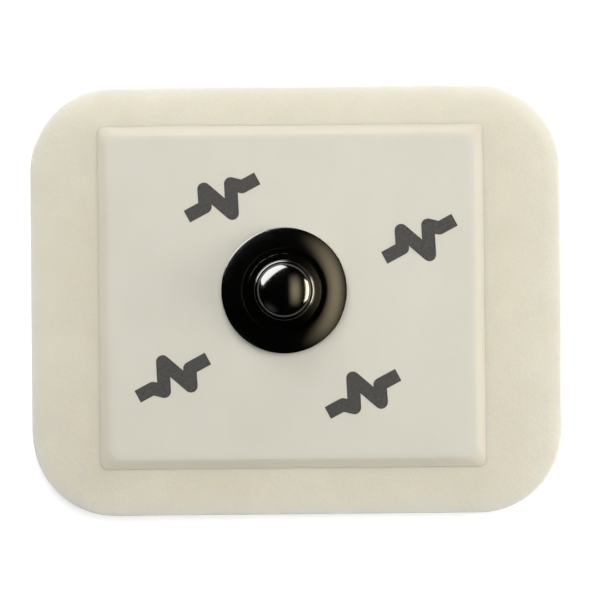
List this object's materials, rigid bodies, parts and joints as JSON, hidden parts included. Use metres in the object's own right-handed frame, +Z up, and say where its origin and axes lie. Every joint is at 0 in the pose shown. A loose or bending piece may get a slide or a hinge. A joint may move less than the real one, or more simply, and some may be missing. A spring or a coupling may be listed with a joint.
{
  "type": "ecg electrode",
  "caption": "Disposable monitoring electrode: rounded foam tape pad with a square cover label, a black snap stud, and a gel pad and sensor eyelet beneath, on its clear liner.",
  "frame": {"origin": "centre of the pad's outline, on the underside of the release liner, which is what the electrode lies on", "axes": "+X along the pad's longer side, +Y towards the edge that is uppermost in the picture, +Z up along the snap stud"},
  "size_m": [0.04, 0.0322, 0.0056],
  "materials": {
    "stud_plastic": "glossy black carbon-filled moulded plastic",
    "label_film": "matt white cover label with small dark grey print",
    "foam": "cream closed-cell polyethylene foam tape with a fine cell texture",
    "sensor_coating": "matt silver and silver chloride coating on a plastic eyelet",
    "gel": "translucent solid conductive gel, wet and tacky",
    "liner_film": "clear polyester release film, smooth"
  },
  "bodies": {
    "root": {"snap_stud": "stud_plastic", "top_label": "label_film", "foam_tape": "foam", "sensor_eyelet": "sensor_coating", "gel_pad": "gel", "release_liner": "liner_film"}
  },
  "joints": []
}
